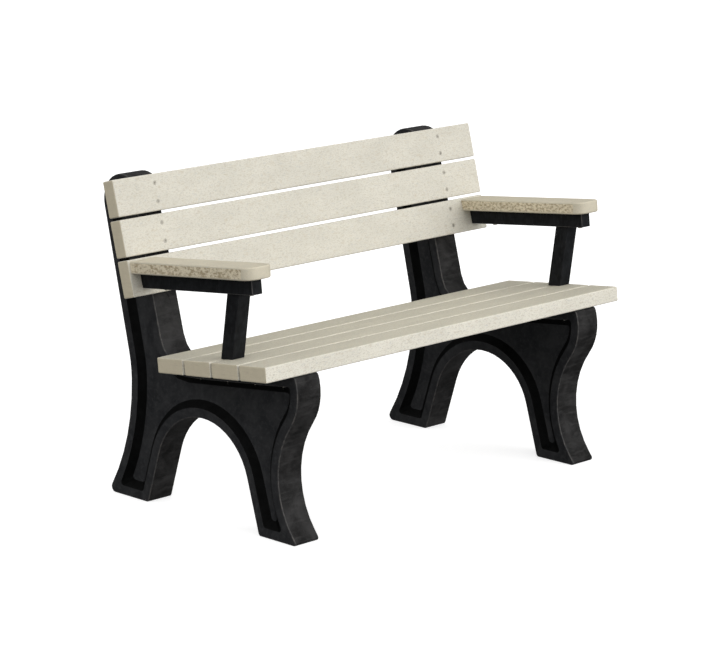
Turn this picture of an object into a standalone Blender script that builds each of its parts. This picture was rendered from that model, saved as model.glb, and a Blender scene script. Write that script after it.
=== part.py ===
"""A park bench of recycled plastic lumber, in metres, +Z up, front facing -Y.

Two moulded end frames carry four seat planks and three back boards, all of one length. Two arms
stand on the ends of the seat, each made of an arm board, a rail under it and a leaning post.
The origin is on the floor, in the middle of the bench.
"""
from math import acos, asin, atan2, cos, pi, radians, sin, sqrt, tan

import bmesh
import bpy
from mathutils import Matrix, Vector

# Boards: one lumber section for the seat and the back.
BOARD_LENGTH = 1.219
BOARD_WIDTH = 0.088
BOARD_THICKNESS = 0.037
BOARD_EDGE = 0.003
FIT_GAP = 0.0003              # between pieces that touch

# Seat: the front top edge of the first plank, and the slope down to the back.
SEAT_PLANKS = 4
SEAT_FRONT_Y = -0.3200
SEAT_FRONT_Z = 0.4366
SEAT_TILT = radians(6.06)
SEAT_SPACING = 0.006
SEAT_PITCH = BOARD_WIDTH + SEAT_SPACING
SEAT_DEPTH = SEAT_PLANKS * SEAT_PITCH - SEAT_SPACING
SEAT_REAR_Y = SEAT_FRONT_Y + SEAT_DEPTH * cos(SEAT_TILT)
SEAT_REAR_Z = SEAT_FRONT_Z - SEAT_DEPTH * sin(SEAT_TILT)

# Back: the foot of the plane that the back boards lean on, and its angle from upright.
BACK_BOARDS = 3
BACK_SETBACK = 0.1134         # from the seat's rear edge back and up to that foot
BACK_LIFT = 0.1207
BACK_FOOT_Y = SEAT_REAR_Y + BACK_SETBACK
BACK_FOOT_Z = SEAT_REAR_Z + BACK_LIFT
BACK_LEAN = radians(14.6)
BACK_SPACING = 0.007
BACK_HEIGHT = BACK_BOARDS * (BOARD_WIDTH + BACK_SPACING) - BACK_SPACING

# End frames: a thick web with a raised rim all round, so each side is a shallow pocket.
FRAME_OVERHANG = 0.1252       # from the ends of the boards in to the middle of a frame
FRAME_X = BOARD_LENGTH / 2 - FRAME_OVERHANG
FRAME_THICKNESS = 0.0750
POCKET_DEPTH = 0.0145
FRAME_WEB = FRAME_THICKNESS - 2 * POCKET_DEPTH
FRAME_RIM = 0.0235            # flat band round each side
FRAME_SLOPE = 0.0175          # how far the pocket walls lean in on the way down to the web
FRAME_EDGE = 0.0022
FRAME_RISE = 0.0045           # top of the frame above the top of the back boards
FRAME_TOP_Z = BACK_FOOT_Z + BACK_HEIGHT * cos(BACK_LEAN) + FRAME_RISE
CAP_RADIUS = 0.0680
FOOT_ROUND = 0.0080
TOE_ROUND = 0.0065
HEEL_ROUND = 0.0180
POCKET_ROUND = 0.0080
THROAT_ROUND = 0.0750         # where the upright meets the seat bar
SHOULDER_ROUND = 0.0090       # cap to board face, and seat bar to front leg
SMALLEST_ROUND = 0.0015       # left on a rim corner that tightens
CORNER_ROOM = 0.98            # share of a straight side that rounded corners may use
THROAT_ROOM = 0.95            # the same for the throat's side along the seat bar

# Front leg: a hollow curve below, a full curve above it.
LEG_HOLLOW_RADIUS = 0.2106
LEG_HOLLOW_SHARE = 0.3500     # height of its narrowest point as a share of the seat's height
LEG_HOLLOW_Z = LEG_HOLLOW_SHARE * SEAT_FRONT_Z
LEG_WAIST_Y = SEAT_FRONT_Y + 0.0534
LEG_BELLY_RADIUS = 0.1236
LEG_BELLY_Y = SEAT_FRONT_Y - 0.0122

# Rear leg and upright, along the back.
HEEL_CURVE_RADIUS = 0.5140
SPINE_CURVE_RADIUS = 0.3048
SPINE_SETBACK = 0.1953        # from the seat's rear edge back to the narrowest point
SPINE_WAIST_Y = SEAT_REAR_Y + SPINE_SETBACK
SPINE_WAIST_SHARE = 0.6777    # its height as a share of the seat's height
SPINE_WAIST_Z = SPINE_WAIST_SHARE * SEAT_FRONT_Z
SPINE_TAPER = radians(1.6)    # the upright narrows towards its top
SPINE_LEAN = BACK_LEAN - SPINE_TAPER

# Arch between the legs: two arcs that share the crown.
FRONT_LEG_WIDTH = 0.0992
REAR_LEG_WIDTH = 0.0878
ARCH_SPAN = SPINE_WAIST_Y - REAR_LEG_WIDTH - LEG_WAIST_Y - FRONT_LEG_WIDTH
ARCH_FRONT_SHARE = 0.4888
ARCH_FRONT_RADIUS = ARCH_FRONT_SHARE * ARCH_SPAN
ARCH_REAR_RADIUS = ARCH_SPAN - ARCH_FRONT_RADIUS
ARCH_CROWN_Y = LEG_WAIST_Y + FRONT_LEG_WIDTH + ARCH_FRONT_RADIUS
ARCH_CROWN_DROP = 0.1916      # from the seat's front edge down to the crown
ARCH_CROWN_Z = SEAT_FRONT_Z - ARCH_CROWN_DROP
ARCH_FRONT_SPLAY = radians(16.5)
ARCH_REAR_SPLAY = radians(17.8)
FOOT_STRAIGHT = 0.0200        # last straight stretch of each curve above the floor

# Arms: each post stands over the gap between two planks.
ARM_OVERHANG = (0.0465, 0.0400)   # from the ends of the boards in to each arm's middle
ARM_X = (-BOARD_LENGTH / 2 + ARM_OVERHANG[0], BOARD_LENGTH / 2 - ARM_OVERHANG[1])
ARM_TILT = radians(6.06)
POST_SIDE = 0.0380
POST_OFFSET_X = 0.0155        # post centre from the centre line of its arm board and rail
POST_PLANKS = 2               # planks in front of that gap
POST_SETFORWARD = 0.01265     # the post's centre forward of it
POST_FOOT_Y = SEAT_FRONT_Y + POST_PLANKS * SEAT_PITCH * cos(SEAT_TILT) - POST_SETFORWARD
POST_LEAN = radians(8.4)
ARM_BOARD_WIDTH = 0.0800
ARM_BOARD_THICKNESS = 0.0300
ARM_BOARD_CORNER = 0.0280
ARM_BOARD_EDGE = 0.0040
ARM_BOARD_REACH = 0.1170      # from the post's foot forward to the board's front
ARM_BOARD_FRONT_Y = POST_FOOT_Y - ARM_BOARD_REACH
ARM_LIFT = 0.00624            # its top at the back boards, above the top of the first of them
ARM_BOARD_TOP_Z = BACK_FOOT_Z + BOARD_WIDTH * cos(BACK_LEAN) + ARM_LIFT
RAIL_WIDTH = 0.0310
RAIL_HEIGHT = 0.0360
RAIL_REACH = 0.0948           # from the post's foot forward to the rail's front
RAIL_FRONT_Y = POST_FOOT_Y - RAIL_REACH
RAIL_EDGE = 0.0012

# Screws: countersunk from the front of the back boards, round headed everywhere else.
SHANK_RADIUS = 0.0027
FLAT_HEAD_RADIUS = 0.0050
FLAT_HEAD_LIP = 0.0008
ROUND_HEAD_RADIUS = 0.0058
ROUND_HEAD_HEIGHT = 0.0034
HEAD_CLEARANCE = 0.0008       # round a head that lies in a recess
TIP_LENGTH = 0.0050
SCREW_SIDES = 10
SEAT_SCREW_GRIP = 0.0220      # how far a screw bites into the second piece
BACK_SCREW_GRIP = 0.0380
ARM_SCREW_GRIP = 0.0160
END_SCREW_GRIP = 0.0300
BACK_SCREW_SHARE = 0.25       # of a board's width, up and down from its middle
SEAT_SCREW_INSET = 0.0078     # from a frame's side in to the seat screws
ARM_SCREW_FRONT = 0.0200      # from the rail's front and rear end in to its screws
ARM_SCREW_REAR = 0.0700
POST_SCREW_SHARE = 1.0 / 3.0  # of the post's offset, so that the screw is in rail and post
POINT_SHARE = 0.4             # width of a screw's point as a share of its shank

# Steps along each curve.
BELLY_STEPS = 7
HOLLOW_STEPS = 9
ARCH_STEPS = 10
HEEL_STEPS = 6
SPINE_STEPS = 3
CAP_STEPS = 13
CORNER_STEPS = 4
EDGE_STEPS = 3
BOARD_CORNER_STEPS = 6

# Directions in the side view, each a unit vector.
SEAT_BACKWARD = Vector((0.0, cos(SEAT_TILT), -sin(SEAT_TILT)))
SEAT_UP = Vector((0.0, sin(SEAT_TILT), cos(SEAT_TILT)))
BACK_UP = Vector((0.0, sin(BACK_LEAN), cos(BACK_LEAN)))
BACK_FORWARD = Vector((0.0, -cos(BACK_LEAN), sin(BACK_LEAN)))
ARM_BACKWARD = Vector((0.0, cos(ARM_TILT), -sin(ARM_TILT)))
ARM_UP = Vector((0.0, sin(ARM_TILT), cos(ARM_TILT)))
POST_UP = Vector((0.0, -sin(POST_LEAN), cos(POST_LEAN)))
ACROSS = Vector((1.0, 0.0, 0.0))
BACKWARD = Vector((0.0, 1.0, 0.0))
UPWARD = Vector((0.0, 0.0, 1.0))

SEAT_CORNER = Vector((0.0, SEAT_FRONT_Y, SEAT_FRONT_Z))
SEAT_BED = SEAT_CORNER - SEAT_UP * (BOARD_THICKNESS + FIT_GAP)
BACK_FOOT = Vector((0.0, BACK_FOOT_Y, BACK_FOOT_Z))
BACK_FACE = BACK_FOOT + BACK_FORWARD * (BOARD_THICKNESS + FIT_GAP)


def clear_scene():
    for item in list(bpy.data.objects):
        bpy.data.objects.remove(item)


def material(name, colour, roughness, metallic=0.0):
    made = bpy.data.materials.new(name)
    made.use_nodes = True
    shader = made.node_tree.nodes["Principled BSDF"]
    shader.inputs["Base Color"].default_value = (*colour, 1.0)
    shader.inputs["Roughness"].default_value = roughness
    shader.inputs["Metallic"].default_value = metallic
    return made


def mesh_object(name, bm, finish, origin=Vector((0.0, 0.0, 0.0))):
    """Put a bmesh into the scene, with its points kept relative to the origin given."""
    bmesh.ops.translate(bm, vec=-origin, verts=bm.verts)
    bmesh.ops.recalc_face_normals(bm, faces=bm.faces)
    mesh = bpy.data.meshes.new(name)
    bm.to_mesh(mesh)
    bm.free()
    item = bpy.data.objects.new(name, mesh)
    item.location = origin
    item.data.materials.append(finish)
    bpy.context.scene.collection.objects.link(item)
    return item


def ease_edges(item, width, segments=2):
    bevel = item.modifiers.new("eased edges", "BEVEL")
    bevel.width = width
    bevel.segments = segments
    bevel.limit_method = "ANGLE"
    bevel.angle_limit = radians(40)


def meet(point, direction, plane_point, plane_normal):
    """The point where a line through point meets a plane."""
    reach = (plane_point - point).dot(plane_normal) / direction.dot(plane_normal)
    return point + direction * reach


# ---------------------------------------------------------------- boards

def board(name, centre, along_width, along_thickness, finish):
    """A straight board of the common section, its length along X."""
    bm = bmesh.new()
    bmesh.ops.create_cube(bm, size=1.0)
    bmesh.ops.scale(bm, vec=(BOARD_LENGTH, BOARD_WIDTH, BOARD_THICKNESS), verts=bm.verts)
    turn = Matrix((ACROSS, along_width, along_thickness)).transposed()
    bmesh.ops.rotate(bm, matrix=turn, verts=bm.verts)
    item = mesh_object(name, bm, finish)
    item.location = centre
    ease_edges(item, BOARD_EDGE)
    return item


def seat_plank_centre(index):
    step = BOARD_WIDTH / 2 + index * (BOARD_WIDTH + SEAT_SPACING)
    return SEAT_CORNER + SEAT_BACKWARD * step - SEAT_UP * (BOARD_THICKNESS / 2)


def back_board_centre(index):
    step = BOARD_WIDTH / 2 + index * (BOARD_WIDTH + BACK_SPACING)
    return BACK_FOOT + BACK_UP * step + BACK_FORWARD * (FIT_GAP + BOARD_THICKNESS / 2)


def make_seat(finish):
    planks = []
    for index in range(SEAT_PLANKS):
        name = f"seat_plank_{index + 1}"
        planks.append(board(name, seat_plank_centre(index), SEAT_BACKWARD, SEAT_UP, finish))
    return planks


def make_back(finish):
    boards = []
    for index in range(BACK_BOARDS):
        name = f"back_board_{index + 1}"
        boards.append(board(name, back_board_centre(index), BACK_UP, BACK_FORWARD, finish))
    return boards


# ---------------------------------------------------------------- end frame outline
# Each function gives points (y, z, rounding) of the side view moved inward by depth. A
# rounding above zero rounds an outer corner, and one below zero fills a hollow corner.

def arc(centre_y, centre_z, radius, start, end, steps):
    """Points along an arc in the side view, both ends included."""
    points = []
    for index in range(steps + 1):
        angle = start + (end - start) * index / steps
        points.append((centre_y + radius * cos(angle), centre_z + radius * sin(angle), 0.0))
    return points


def to_floor(point, lean, depth, rounding):
    """Carry a straight line on from a point down to the floor; lean is its slope along Y."""
    return point[0] + lean * (point[1] - depth), depth, rounding


def front_leg_points(depth):
    """From the top of the belly curve down to the toe."""
    hollow_y = LEG_WAIST_Y - LEG_HOLLOW_RADIUS
    belly_y = LEG_BELLY_Y + LEG_BELLY_RADIUS
    reach = LEG_HOLLOW_RADIUS + LEG_BELLY_RADIUS
    belly_z = LEG_HOLLOW_Z + sqrt(reach ** 2 - (belly_y - hollow_y) ** 2)
    join = atan2(belly_z - LEG_HOLLOW_Z, belly_y - hollow_y)
    bed_height = (SEAT_BED - Vector((0.0, belly_y, belly_z))).dot(SEAT_UP) - depth
    belly_radius = LEG_BELLY_RADIUS - depth
    top = pi / 2 - SEAT_TILT + acos(bed_height / belly_radius)
    belly = arc(belly_y, belly_z, belly_radius, top, pi + join, BELLY_STEPS)
    belly[0] = (*belly[0][:2], SHOULDER_ROUND)
    hollow_radius = LEG_HOLLOW_RADIUS + depth
    low = asin((LEG_HOLLOW_Z - FOOT_STRAIGHT - depth) / hollow_radius)
    hollow = arc(hollow_y, LEG_HOLLOW_Z, hollow_radius, join, -low, HOLLOW_STEPS)
    return belly + hollow[1:] + [to_floor(hollow[-1], -tan(low), depth, TOE_ROUND)]


def arch_points(depth):
    """From the front foot's inner corner over the arch to the rear foot's."""
    rear_z = ARCH_CROWN_Z - ARCH_REAR_RADIUS
    front_z = ARCH_CROWN_Z - ARCH_FRONT_RADIUS
    curve = arc(ARCH_CROWN_Y, front_z, ARCH_FRONT_RADIUS + depth, pi - ARCH_FRONT_SPLAY, pi / 2,
                ARCH_STEPS)
    curve += arc(ARCH_CROWN_Y, rear_z, ARCH_REAR_RADIUS + depth, pi / 2, ARCH_REAR_SPLAY,
                 ARCH_STEPS)[1:]
    front = to_floor(curve[0], -tan(ARCH_FRONT_SPLAY), depth, FOOT_ROUND)
    rear = to_floor(curve[-1], tan(ARCH_REAR_SPLAY), depth, FOOT_ROUND)
    return [front] + curve + [rear]


def spine_points(depth):
    """From the heel up the back of the frame, over the cap, to the board face."""
    heel_radius = HEEL_CURVE_RADIUS + depth
    low = asin((SPINE_WAIST_Z - FOOT_STRAIGHT - depth) / heel_radius)
    heel_curve = arc(SPINE_WAIST_Y + HEEL_CURVE_RADIUS, SPINE_WAIST_Z, heel_radius,
                     pi + low, pi, HEEL_STEPS)
    heel = to_floor(heel_curve[0], tan(low), depth, HEEL_ROUND)
    upper_y = SPINE_WAIST_Y + SPINE_CURVE_RADIUS
    upper = arc(upper_y, SPINE_WAIST_Z, SPINE_CURVE_RADIUS + depth, pi, pi - SPINE_LEAN,
                SPINE_STEPS)
    cap_y, cap_z = cap_centre()
    cap_radius = CAP_RADIUS - depth
    board_face = (BACK_FOOT - Vector((0.0, cap_y, cap_z))).dot(BACK_FORWARD) - depth
    end = pi - BACK_LEAN - acos(board_face / cap_radius)
    cap = arc(cap_y, cap_z, cap_radius, -SPINE_LEAN, end, CAP_STEPS)
    cap[-1] = (*cap[-1][:2], SHOULDER_ROUND)
    return [heel] + heel_curve + upper[1:] + cap


def cap_centre():
    """The cap's circle touches the straight back of the upright and the frame's top height."""
    centre_z = FRAME_TOP_Z - CAP_RADIUS
    start_y = SPINE_WAIST_Y + SPINE_CURVE_RADIUS * (1.0 - cos(SPINE_LEAN))
    start_z = SPINE_WAIST_Z + SPINE_CURVE_RADIUS * sin(SPINE_LEAN)
    back_y = start_y + (centre_z - start_z) * tan(SPINE_LEAN)
    return back_y - CAP_RADIUS / cos(SPINE_LEAN), centre_z


def throat_point(depth):
    """The inner corner between the board face of the upright and the seat bar."""
    face = BACK_FOOT - BACK_FORWARD * depth
    corner = meet(face, BACK_UP, SEAT_BED - SEAT_UP * depth, SEAT_UP)
    return corner.y, corner.z, -throat_radius()


def throat_radius():
    """The throat's curve starts behind the last plank, which lies flat on the bar."""
    corner = meet(BACK_FOOT, BACK_UP, SEAT_BED, SEAT_UP)
    room = (corner - SEAT_BED).dot(SEAT_BACKWARD) - SEAT_DEPTH
    half_turn = (pi / 2 - BACK_LEAN + SEAT_TILT) / 2
    return min(THROAT_ROUND, THROAT_ROOM * room / tan(half_turn))


def frame_outline(depth):
    """The whole side view of an end frame, anticlockwise."""
    rear = arch_points(depth) + spine_points(depth)
    return rear + [throat_point(depth)] + front_leg_points(depth)


def corner_radius(rounding, depth):
    """A hollow corner opens out as the outline moves inward, and an outer corner tightens."""
    if rounding < 0.0:
        return depth - rounding
    if depth < FRAME_RIM:
        return max(rounding - depth, SMALLEST_ROUND)
    return POCKET_ROUND


def half_angle(outline, index):
    """Half the angle at a corner, and the directions from it to its neighbours."""
    corner, before, after = (Vector(outline[place % len(outline)][:2])
                             for place in (index, index - 1, index + 1))
    towards = (before - corner).normalized()
    onwards = (after - corner).normalized()
    return acos(towards.dot(onwards)) / 2, towards, onwards


def tangent_length(outline, index, depth):
    """How much of each side next to a corner its rounding would like to use."""
    index %= len(outline)
    rounding = outline[index][2]
    if rounding == 0.0:
        return 0.0
    return corner_radius(rounding, depth) / tan(half_angle(outline, index)[0])


def round_corners(outline, depth):
    """Round the marked corners. Two that share a short side share out its length."""
    points = []
    for index, (y, z, rounding) in enumerate(outline):
        corner = Vector((y, z))
        reach = tangent_length(outline, index, depth)
        if reach == 0.0:
            points.append(corner)
            continue
        half, towards, onwards = half_angle(outline, index)
        wish = reach
        for place in (index - 1, index + 1):
            side = (Vector(outline[place % len(outline)][:2]) - corner).length
            share = wish / (wish + tangent_length(outline, place, depth))
            reach = min(reach, CORNER_ROOM * side * share)
        radius = reach * tan(half)
        centre = corner + (towards + onwards).normalized() * (radius / sin(half))
        start = corner + towards * reach - centre
        sweep = start.angle_signed(corner + onwards * reach - centre)
        for part in range(CORNER_STEPS + 1):
            turn = Matrix.Rotation(-sweep * part / CORNER_STEPS, 2)
            points.append(centre + turn @ start)
    return points


def frame_rings():
    """Depth and X of each ring, from the web's +X side round the rim to its -X side."""
    half = FRAME_THICKNESS / 2
    side = [(FRAME_RIM + FRAME_SLOPE, FRAME_WEB / 2), (FRAME_RIM, half)]
    for step in range(EDGE_STEPS + 1):
        angle = pi / 2 * step / EDGE_STEPS
        side.append((FRAME_EDGE * (1.0 - sin(angle)), half - FRAME_EDGE * (1.0 - cos(angle))))
    return side + [(depth, -x) for depth, x in reversed(side)]


def make_frame(name, x, finish):
    bm = bmesh.new()
    rings = []
    for depth, ring_x in frame_rings():
        points = round_corners(frame_outline(depth), depth)
        rings.append([bm.verts.new((x + ring_x, point.x, point.y)) for point in points])
    bm.faces.new(rings[0])
    bm.faces.new(reversed(rings[-1]))
    for one, other in zip(rings, rings[1:]):
        for index in range(len(one)):
            bm.faces.new((one[index - 1], one[index], other[index], other[index - 1]))
    return mesh_object(name, bm, finish, Vector((x, 0.0, 0.0)))


# ---------------------------------------------------------------- arms

def back_face_end(point):
    """Carry a line of the arm back until it meets the face of the back boards."""
    stop = BACK_FACE + BACK_FORWARD * FIT_GAP
    return meet(point, ARM_BACKWARD, stop, BACK_FORWARD)


def arm_top(x, y):
    """The point of the arm board's top plane above a given Y."""
    top = meet(Vector((x, 0.0, ARM_BOARD_TOP_Z)), BACKWARD, BACK_FACE, BACK_FORWARD)
    return meet(Vector((x, y, 0.0)), UPWARD, top, ARM_UP)


def arm_board_outline():
    """Plan of the arm board's front end: X and distance back from its front."""
    half = ARM_BOARD_WIDTH / 2
    points = []
    for side, start in ((-1.0, pi), (1.0, 1.5 * pi)):
        for index in range(BOARD_CORNER_STEPS + 1):
            angle = start + pi / 2 * index / BOARD_CORNER_STEPS
            x = side * (half - ARM_BOARD_CORNER) + ARM_BOARD_CORNER * cos(angle)
            points.append((x, ARM_BOARD_CORNER * (1.0 + sin(angle))))
    return points


def make_arm_board(name, x, finish):
    bm = bmesh.new()
    front = arm_top(x, ARM_BOARD_FRONT_Y)
    half = ARM_BOARD_WIDTH / 2
    layers = []
    for depth in (0.0, ARM_BOARD_THICKNESS):
        start = front - ARM_UP * depth
        ring = [start + ACROSS * px + ARM_BACKWARD * py for px, py in arm_board_outline()]
        ring.append(back_face_end(start + ACROSS * half))
        ring.append(back_face_end(start - ACROSS * half))
        layers.append([bm.verts.new(point) for point in ring])
    bm.faces.new(layers[0])
    bm.faces.new(reversed(layers[1]))
    for index in range(len(layers[0])):
        bm.faces.new((layers[0][index - 1], layers[1][index - 1],
                      layers[1][index], layers[0][index]))
    item = mesh_object(name, bm, finish, front)
    ease_edges(item, ARM_BOARD_EDGE)
    return item


def box_between(name, corners_a, corners_b, finish):
    """A four-sided stick from one end's corners to the other end's."""
    bm = bmesh.new()
    near = [bm.verts.new(point) for point in corners_a]
    far = [bm.verts.new(point) for point in corners_b]
    bm.faces.new(near)
    bm.faces.new(reversed(far))
    for index in range(4):
        bm.faces.new((near[index - 1], far[index - 1], far[index], near[index]))
    centre = sum((vert.co for vert in bm.verts), Vector()) / 8
    item = mesh_object(name, bm, finish, centre)
    ease_edges(item, RAIL_EDGE)
    return item


def rail_top(x, y):
    return arm_top(x, y) - ARM_UP * (ARM_BOARD_THICKNESS + FIT_GAP)


def make_rail(name, x, finish):
    start = rail_top(x - RAIL_WIDTH / 2, RAIL_FRONT_Y)
    across, down = ACROSS * RAIL_WIDTH, ARM_UP * RAIL_HEIGHT
    near = [start, start + across, start + across - down, start - down]
    return box_between(name, near, [back_face_end(point) for point in near], finish)


def post_foot(x):
    """Centre of the post's foot, on the seat."""
    return meet(Vector((x + POST_OFFSET_X, POST_FOOT_Y, 0.0)), UPWARD,
                SEAT_CORNER + SEAT_UP * FIT_GAP, SEAT_UP)


def make_post(name, x, finish):
    foot = post_foot(x)
    forward = POST_UP.cross(ACROSS)
    under_rail = rail_top(x, RAIL_FRONT_Y) - ARM_UP * (RAIL_HEIGHT + FIT_GAP)
    half = POST_SIDE / 2
    bottom, top = [], []
    for across, along in ((-half, -half), (half, -half), (half, half), (-half, half)):
        edge = foot + ACROSS * across + forward * along
        bottom.append(meet(edge, POST_UP, SEAT_CORNER + SEAT_UP * FIT_GAP, SEAT_UP))
        top.append(meet(edge, POST_UP, under_rail, ARM_UP))
    return box_between(name, bottom, top, finish)


# ---------------------------------------------------------------- screws

def flat_profile(length, grow=0.0):
    """Half section of a countersunk screw: radius and height, its flush top at zero."""
    cone = FLAT_HEAD_LIP + FLAT_HEAD_RADIUS - SHANK_RADIUS
    top = grow * 4
    return [(FLAT_HEAD_RADIUS + grow, top), (FLAT_HEAD_RADIUS + grow, -FLAT_HEAD_LIP - grow),
            (SHANK_RADIUS + grow, -cone - grow), (SHANK_RADIUS + grow, TIP_LENGTH - length),
            (POINT_SHARE * SHANK_RADIUS + grow, -length - grow)]


def round_profile(length, grow=0.0):
    """Half section of a round-headed screw, the underside of its head at zero."""
    if grow:
        return [(SHANK_RADIUS + grow, grow * 4), (SHANK_RADIUS + grow, TIP_LENGTH - length),
                (POINT_SHARE * SHANK_RADIUS + grow, -length - grow)]
    head = [(0.55 * ROUND_HEAD_RADIUS, ROUND_HEAD_HEIGHT),
            (0.88 * ROUND_HEAD_RADIUS, 0.72 * ROUND_HEAD_HEIGHT), (ROUND_HEAD_RADIUS, 0.0)]
    return head + [(SHANK_RADIUS, 0.0), (SHANK_RADIUS, TIP_LENGTH - length),
                   (POINT_SHARE * SHANK_RADIUS, -length)]


def turned(name, profile, point, outward, finish):
    """Turn a half section about an axis through point, its height running outward."""
    bm = bmesh.new()
    rings = []
    for radius, height in profile:
        ring = []
        for index in range(SCREW_SIDES):
            angle = 2 * pi * index / SCREW_SIDES
            ring.append(bm.verts.new((radius * cos(angle), radius * sin(angle), height)))
        rings.append(ring)
    bm.faces.new(rings[0])
    bm.faces.new(reversed(rings[-1]))
    for one, other in zip(rings, rings[1:]):
        for index in range(SCREW_SIDES):
            bm.faces.new((one[index - 1], one[index], other[index], other[index - 1]))
    item = mesh_object(name, bm, finish)
    item.data.shade_smooth()
    item.data.set_sharp_from_angle(angle=radians(35))
    item.location = point
    item.rotation_euler = outward.to_track_quat("Z", "Y").to_euler()
    return item


def drill(pieces, cutter):
    """Cut a screw's hole in each piece that it passes through."""
    cutter.hide_render = True
    cutter.display_type = "WIRE"
    for piece in pieces:
        label = "holes in " + piece.name
        holes = bpy.data.collections.get(label)
        if holes is None:
            holes = bpy.data.collections.new(label)
            cut = piece.modifiers.new("screw holes", "BOOLEAN")
            cut.operation = "DIFFERENCE"
            cut.operand_type = "COLLECTION"
            cut.collection = holes
            cut.solver = "EXACT"
        holes.objects.link(cutter)


def screw(name, profile, length, point, outward, pieces, finish, sink=0.0):
    """A screw with its head at point, and its clearance hole in the pieces it joins.

    Where the wall round it slopes, sink is how far a flat-bottomed recess for the head runs out.
    """
    lifted = point + outward * (FIT_GAP if profile is round_profile else -FIT_GAP)
    turned(name, profile(length), lifted, outward, finish)
    hole = profile(length, FIT_GAP)
    if sink:
        recess = ROUND_HEAD_RADIUS + HEAD_CLEARANCE
        hole = [(recess, sink), (recess, -FIT_GAP), (hole[0][0], -FIT_GAP)] + hole[1:]
    drill(pieces, turned(name + "_hole", hole, lifted, outward, finish))


def side_name(x):
    return "left" if x < 0 else "right"


def screw_back(frames, boards, finish):
    """Two countersunk screws where each back board crosses each upright."""
    for frame, x in zip(frames, (-FRAME_X, FRAME_X)):
        for index, piece in enumerate(boards):
            for which, share in (("low", -BACK_SCREW_SHARE), ("high", BACK_SCREW_SHARE)):
                centre = back_board_centre(index) + BACK_UP * (share * BOARD_WIDTH)
                point = centre + BACK_FORWARD * (BOARD_THICKNESS / 2) + ACROSS * x
                name = f"back_screw_{side_name(x)}_{index + 1}_{which}"
                screw(name, flat_profile, BOARD_THICKNESS + BACK_SCREW_GRIP, point,
                      BACK_FORWARD, (frame, piece), finish)


def screw_seat(frames, planks, finish):
    """Two screws up through the seat bar's rim into each plank, one each side of the web."""
    reach = FRAME_THICKNESS / 2 - SEAT_SCREW_INSET
    for frame, outward in zip(frames, (-1.0, 1.0)):
        for index, piece in enumerate(planks):
            for which, side in (("inner", -outward), ("outer", outward)):
                across = outward * FRAME_X + side * reach
                bed = seat_plank_centre(index) - SEAT_UP * (BOARD_THICKNESS / 2 + FIT_GAP)
                point = bed - SEAT_UP * FRAME_RIM + ACROSS * across
                name = f"seat_screw_{side_name(outward)}_{index + 1}_{which}"
                screw(name, round_profile, FRAME_RIM + SEAT_SCREW_GRIP, point, -SEAT_UP,
                      (frame, piece), finish, FRAME_SLOPE)


def screw_arm(label, x, pieces, planks, boards, finish):
    """The screws of one arm, all of them hidden from above."""
    board_piece, rail, post = pieces
    length = RAIL_HEIGHT + ARM_SCREW_GRIP
    back_end = back_face_end(rail_top(x, RAIL_FRONT_Y))
    ends = (("front", RAIL_FRONT_Y + ARM_SCREW_FRONT), ("rear", back_end.y - ARM_SCREW_REAR))
    for which, y in ends:
        point = rail_top(x, y) - ARM_UP * RAIL_HEIGHT
        screw(f"arm_board_screw_{label}_{which}", round_profile, length, point, -ARM_UP,
              (rail, board_piece), finish)
    foot = post_foot(x)
    seat_of_rail = rail_top(x, RAIL_FRONT_Y) - ARM_UP * RAIL_HEIGHT
    post_top = meet(foot, POST_UP, seat_of_rail, ARM_UP)
    head = Vector((x + POST_OFFSET_X * POST_SCREW_SHARE, post_top.y, post_top.z)) + ARM_UP * RAIL_HEIGHT
    screw(f"post_top_screw_{label}", flat_profile, RAIL_HEIGHT + END_SCREW_GRIP, head, ARM_UP,
          (rail, post), finish)
    nearest = min(planks, key=lambda plank: (plank.location - foot).length)
    reach = BOARD_WIDTH / 2 - ROUND_HEAD_RADIUS - BOARD_EDGE
    offset = (foot - nearest.location).dot(SEAT_BACKWARD)
    under = nearest.location + SEAT_BACKWARD * min(max(offset, -reach), reach)
    under = under - SEAT_UP * (BOARD_THICKNESS / 2) + ACROSS * (x + POST_OFFSET_X)
    screw(f"post_foot_screw_{label}", round_profile, BOARD_THICKNESS + END_SCREW_GRIP, under,
          -SEAT_UP, (nearest, post), finish)
    in_rail = ("rail", rail, ARM_BOARD_THICKNESS + RAIL_HEIGHT / 2)
    in_board = ("board", board_piece, ARM_BOARD_THICKNESS / 2)
    for part, target, depth in (in_rail, in_board):
        line = arm_top(x, 0.0) - ARM_UP * depth
        end = meet(line, ARM_BACKWARD, BACK_FOOT + BACK_FORWARD * FIT_GAP, BACK_FORWARD)
        screw(f"arm_back_screw_{label}_{part}", round_profile, BOARD_THICKNESS + END_SCREW_GRIP,
              end, -BACK_FORWARD, (boards[0], target), finish)


def main():
    clear_scene()
    lumber = material("speckled beige lumber", (0.70, 0.66, 0.57), 0.62)
    arm_lumber = material("mottled tan lumber", (0.52, 0.46, 0.34), 0.64)
    moulded = material("black moulded plastic", (0.020, 0.020, 0.022), 0.52)
    black_lumber = material("black lumber", (0.018, 0.018, 0.020), 0.48)
    steel = material("dark coated screw", (0.10, 0.095, 0.085), 0.38, 0.9)

    frames = [make_frame("left_end_frame", -FRAME_X, moulded),
              make_frame("right_end_frame", FRAME_X, moulded)]
    planks = make_seat(lumber)
    boards = make_back(lumber)
    screw_back(frames, boards, steel)
    screw_seat(frames, planks, steel)
    for x in ARM_X:
        label = side_name(x)
        arm = (make_arm_board(f"{label}_arm_board", x, arm_lumber),
               make_rail(f"{label}_arm_rail", x, black_lumber),
               make_post(f"{label}_arm_post", x, black_lumber))
        screw_arm(label, x, arm, planks, boards, steel)


main()
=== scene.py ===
from math import cos, inf, radians, sin

import bpy
import numpy as np
from bpy.props import FloatProperty, FloatVectorProperty, IntProperty, PointerProperty
from mathutils import Matrix, Vector


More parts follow.
